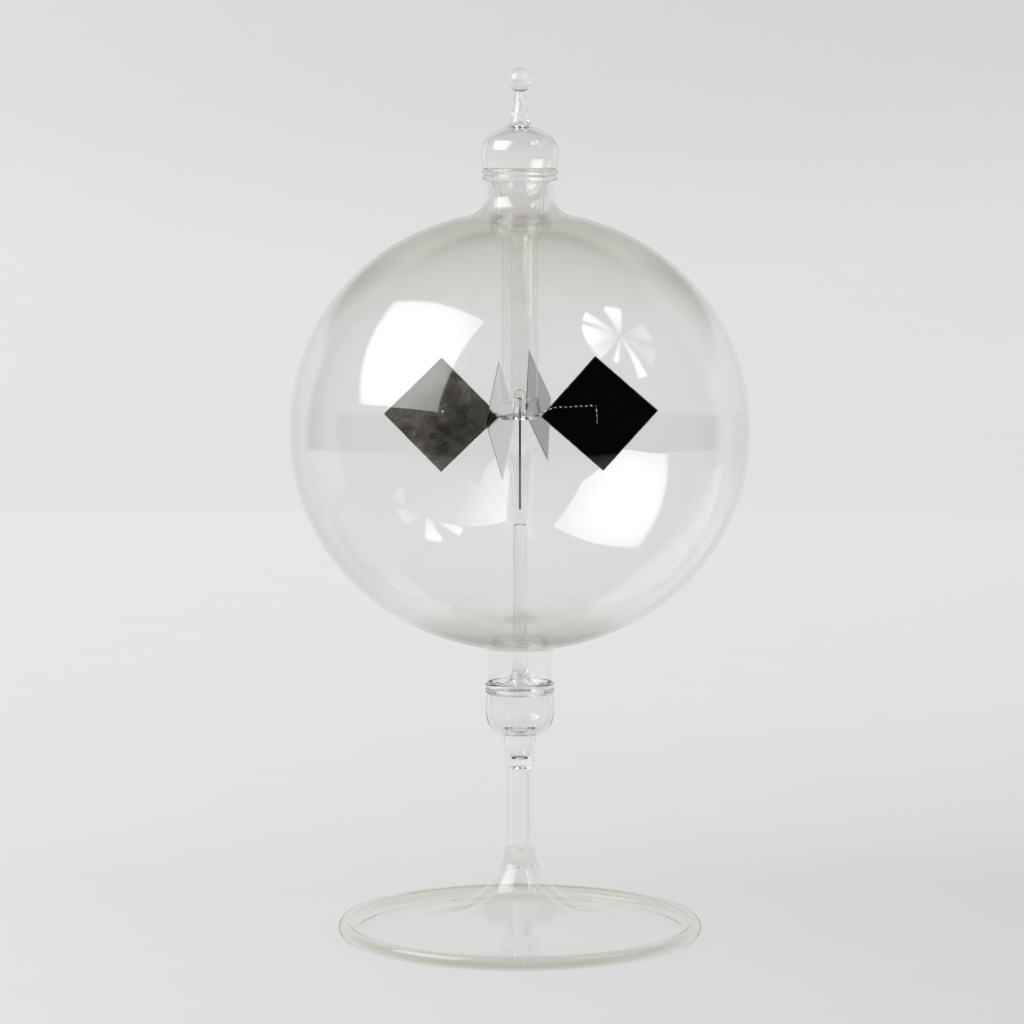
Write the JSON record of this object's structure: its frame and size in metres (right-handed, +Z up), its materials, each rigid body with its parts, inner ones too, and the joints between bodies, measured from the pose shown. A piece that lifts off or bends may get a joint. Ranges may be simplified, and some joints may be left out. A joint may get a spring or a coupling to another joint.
{
  "type": "radiometer",
  "caption": "Glass radiometer on a pedestal foot: a clear sealed bulb with a rotor of diamond-set mica vanes, black on one face, turning freely on a needle.",
  "frame": {"origin": "centre of the foot's flat underside, where it stands on a table", "axes": "+Z up along the vessel's axis and the needle; at rest one rotor arm lies along +X, with its black face towards -Y"},
  "size_m": [0.1268, 0.1268, 0.24],
  "materials": {
    "clear_glass": "clear blown soda glass, thin walled, faint striae",
    "foot_glass": "clear tooled soda glass, slightly green at its thick rim",
    "cup_glass": "clear lampworked glass, fire polished",
    "needle_steel": "polished steel sewing needle, darkened",
    "arm_wire": "fine twisted wire",
    "mica": "silvery grey mica, mottled by the soot behind it",
    "lampblack": "dead matt soot"
  },
  "bodies": {
    "vessel": {"bulb": "clear_glass", "upper_ring_seal": "clear_glass", "top_chamber": "clear_glass", "evacuation_tip": "clear_glass", "finial_ball": "clear_glass", "guard_tube": "clear_glass", "lower_ring_seal": "clear_glass", "support_flare": "clear_glass", "support_rod": "clear_glass", "needle_sleeve": "clear_glass", "pivot_needle": "needle_steel", "lower_chamber": "clear_glass", "stem_collar": "clear_glass", "stem_tube": "clear_glass", "foot_neck": "foot_glass", "foot": "foot_glass"},
    "rotor": {"bearing_cup": "cup_glass", "vane_arm_1": "arm_wire", "vane_1": "mica", "lampblack_1": "lampblack", "vane_arm_2": "arm_wire", "vane_2": "mica", "lampblack_2": "lampblack", "vane_arm_3": "arm_wire", "vane_3": "mica", "lampblack_3": "lampblack", "vane_arm_4": "arm_wire", "vane_4": "mica", "lampblack_4": "lampblack"}
  },
  "joints": [
    {"name": "rotor_spin", "type": "hinge", "parent": "vessel", "child": "rotor", "pos_m": [0, 0, 0.14955], "axis": [0, 0, 1], "continuous": true}
  ]
}
